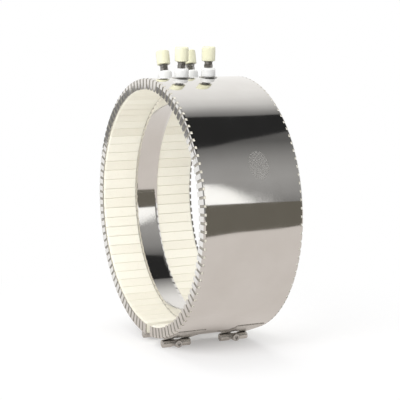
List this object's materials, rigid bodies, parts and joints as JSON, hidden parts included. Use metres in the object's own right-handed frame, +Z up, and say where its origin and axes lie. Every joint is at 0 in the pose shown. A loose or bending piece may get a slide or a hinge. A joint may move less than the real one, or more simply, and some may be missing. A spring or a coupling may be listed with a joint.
{
  "type": "ceramic band heater",
  "caption": "Split steel ring with toothed rims around ceramic strips, capped stud terminals on top and screw clamps closing it underneath.",
  "frame": {"origin": "centre of the ring, on its axis, midway across the band", "axes": "+Y along the ring's axis, +Z up from the clamps to the terminals, +X towards the clamp screws' heads"},
  "size_m": [0.242, 0.098, 0.278],
  "materials": {
    "mirror_steel": "mirror-polished stainless sheet",
    "strip_ceramic": "unglazed pressed ceramic, cream",
    "fibre": "ceramic fibre blanket, white",
    "heating_wire": "oxidised resistance wire",
    "plate_ceramic": "unglazed pressed ceramic",
    "terminal_steel": "zinc-plated steel fasteners",
    "dome_ceramic": "white glazed insulator",
    "cap_ceramic": "cream terminal cap, satin glaze",
    "lug_steel": "stainless sheet, satin",
    "pin_steel": "turned stainless bar",
    "screw_steel": "socket-head screw and washer, bright"
  },
  "bodies": {
    "root": {"jacket": "mirror_steel", "ceramic_strips": "strip_ceramic", "fibre_blanket": "fibre", "front_heating_winding": "heating_wire", "rear_heating_winding": "heating_wire", "inner_strap": "mirror_steel", "near_inner_plate": "plate_ceramic", "far_inner_plate": "plate_ceramic", "stud_1": "terminal_steel", "base_flange_1": "terminal_steel", "dome_insulator_1": "dome_ceramic", "nut_1": "terminal_steel", "thin_nut_1": "terminal_steel", "stud_2": "terminal_steel", "base_flange_2": "terminal_steel", "dome_insulator_2": "dome_ceramic", "nut_2": "terminal_steel", "thin_nut_2": "terminal_steel", "stud_3": "terminal_steel", "base_flange_3": "terminal_steel", "dome_insulator_3": "dome_ceramic", "nut_3": "terminal_steel", "thin_nut_3": "terminal_steel", "stud_4": "terminal_steel", "base_flange_4": "terminal_steel", "dome_insulator_4": "dome_ceramic", "nut_4": "terminal_steel", "thin_nut_4": "terminal_steel", "front_right_lug": "lug_steel", "front_left_lug": "lug_steel", "front_plain_barrel": "pin_steel", "front_threaded_barrel": "pin_steel", "rear_right_lug": "lug_steel", "rear_left_lug": "lug_steel", "rear_plain_barrel": "pin_steel", "rear_threaded_barrel": "pin_steel"},
    "cap_1_washer": {"cap_washer_1": "terminal_steel"},
    "cap_1": {"terminal_cap_1": "cap_ceramic"},
    "cap_2_washer": {"cap_washer_2": "terminal_steel"},
    "cap_2": {"terminal_cap_2": "cap_ceramic"},
    "cap_3_washer": {"cap_washer_3": "terminal_steel"},
    "cap_3": {"terminal_cap_3": "cap_ceramic"},
    "cap_4_washer": {"cap_washer_4": "terminal_steel"},
    "cap_4": {"terminal_cap_4": "cap_ceramic"},
    "front_screw_washer": {"front_clamp_washer": "screw_steel"},
    "front_screw": {"front_clamp_screw": "screw_steel"},
    "rear_screw_washer": {"rear_clamp_washer": "screw_steel"},
    "rear_screw": {"rear_clamp_screw": "screw_steel"}
  },
  "joints": [
    {"name": "cap_1_lift", "type": "slide", "parent": "root", "child": "cap_1_washer", "axis": [-0.2588, 0, 0.9659], "range_m": [0, 0.007]},
    {"name": "cap_1_turn", "type": "hinge", "parent": "cap_1_washer", "child": "cap_1", "pos_m": [-0.03132, -0.0155, 0.11688], "axis": [-0.2588, 0, 0.9659], "range_deg": [0, 3605]},
    {"name": "cap_2_lift", "type": "slide", "parent": "root", "child": "cap_2_washer", "axis": [0.0349, 0, 0.9994], "range_m": [0, 0.007]},
    {"name": "cap_2_turn", "type": "hinge", "parent": "cap_2_washer", "child": "cap_2", "pos_m": [0.00422, -0.0155, 0.12093], "axis": [0.0349, 0, 0.9994], "range_deg": [0, 3605]},
    {"name": "cap_3_lift", "type": "slide", "parent": "root", "child": "cap_3_washer", "axis": [-0.2588, 0, 0.9659], "range_m": [0, 0.007]},
    {"name": "cap_3_turn", "type": "hinge", "parent": "cap_3_washer", "child": "cap_3", "pos_m": [-0.03132, 0.0121, 0.11688], "axis": [-0.2588, 0, 0.9659], "range_deg": [0, 3605]},
    {"name": "cap_4_lift", "type": "slide", "parent": "root", "child": "cap_4_washer", "axis": [0.0349, 0, 0.9994], "range_m": [0, 0.007]},
    {"name": "cap_4_turn", "type": "hinge", "parent": "cap_4_washer", "child": "cap_4", "pos_m": [0.00422, 0.0121, 0.12093], "axis": [0.0349, 0, 0.9994], "range_deg": [0, 3605]},
    {"name": "front_screw_back_out", "type": "slide", "parent": "root", "child": "front_screw_washer", "axis": [1, 0, 0], "range_m": [0, 0.007]},
    {"name": "front_screw_turn", "type": "hinge", "parent": "front_screw_washer", "child": "front_screw", "pos_m": [0, -0.03, -0.12466], "axis": [1, 0, 0], "range_deg": [0, 3605]},
    {"name": "rear_screw_back_out", "type": "slide", "parent": "root", "child": "rear_screw_washer", "axis": [1, 0, 0], "range_m": [0, 0.007]},
    {"name": "rear_screw_turn", "type": "hinge", "parent": "rear_screw_washer", "child": "rear_screw", "pos_m": [0, 0.03, -0.12466], "axis": [1, 0, 0], "range_deg": [0, 3605]}
  ],
  "couplings": [
    {"joint": "cap_1_turn", "follows": "cap_1_lift", "rad_per_m": 8976},
    {"joint": "cap_2_turn", "follows": "cap_2_lift", "rad_per_m": 8976},
    {"joint": "cap_3_turn", "follows": "cap_3_lift", "rad_per_m": 8976},
    {"joint": "cap_4_turn", "follows": "cap_4_lift", "rad_per_m": 8976},
    {"joint": "front_screw_turn", "follows": "front_screw_back_out", "rad_per_m": 8976},
    {"joint": "rear_screw_turn", "follows": "rear_screw_back_out", "rad_per_m": 8976}
  ]
}
